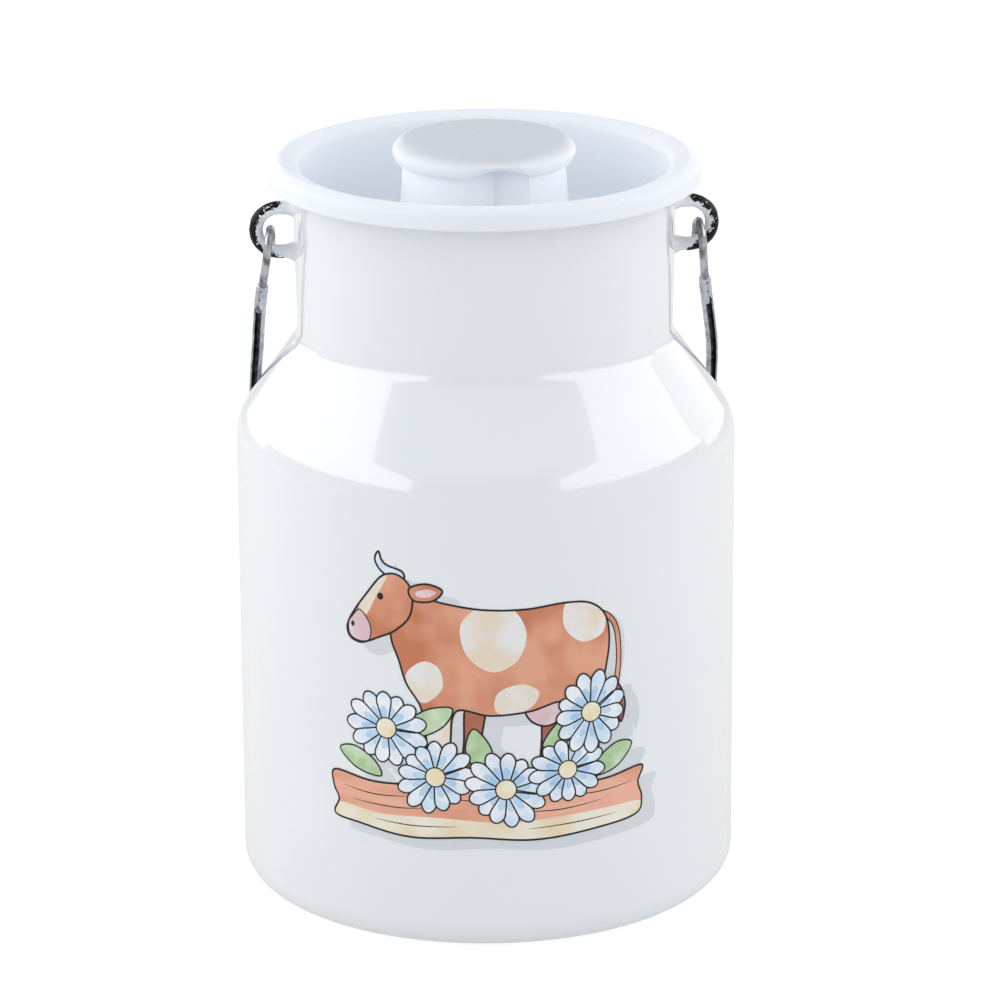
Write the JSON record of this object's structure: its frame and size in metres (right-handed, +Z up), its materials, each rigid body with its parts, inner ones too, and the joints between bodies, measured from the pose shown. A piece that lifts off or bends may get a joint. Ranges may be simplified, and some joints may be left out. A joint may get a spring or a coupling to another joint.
{
  "type": "milk can",
  "caption": "Enamelled steel milk can with a drawn body, wire ears, a swinging bail handle and a lift-out plug lid with a grip knob.",
  "frame": {"origin": "centre of the flat base, on the surface that the can stands on", "axes": "+Z up along the can's axis, +X towards the right ear, +Y towards the back, where the resting bail lies"},
  "size_m": [0.13, 0.1339, 0.1994],
  "materials": {
    "enamel": "glossy white vitreous enamel on sheet steel",
    "steel_strip": "bright rolled sheet strip",
    "steel_wire": "bright drawn wire",
    "lid_plastic": "satin cool-white moulded plastic"
  },
  "bodies": {
    "can": {"lower_body": "enamel", "shoulder_neck": "enamel", "ear_left": "enamel", "ear_right": "enamel"},
    "bail": {"bail_bow": "steel_strip", "bail_hook_left": "steel_wire", "bail_hook_right": "steel_wire"},
    "lid": {"lid_dish": "lid_plastic", "lid_knob": "lid_plastic"}
  },
  "joints": [
    {"name": "bail_swing", "type": "hinge", "parent": "can", "child": "bail", "pos_m": [0, 0, 0.1702], "axis": [1, 0, 0], "range_deg": [0, 144.4]},
    {"name": "lid_lift", "type": "slide", "parent": "can", "child": "lid", "axis": [0, 0, 1], "range_m": [0, 0.05]}
  ]
}
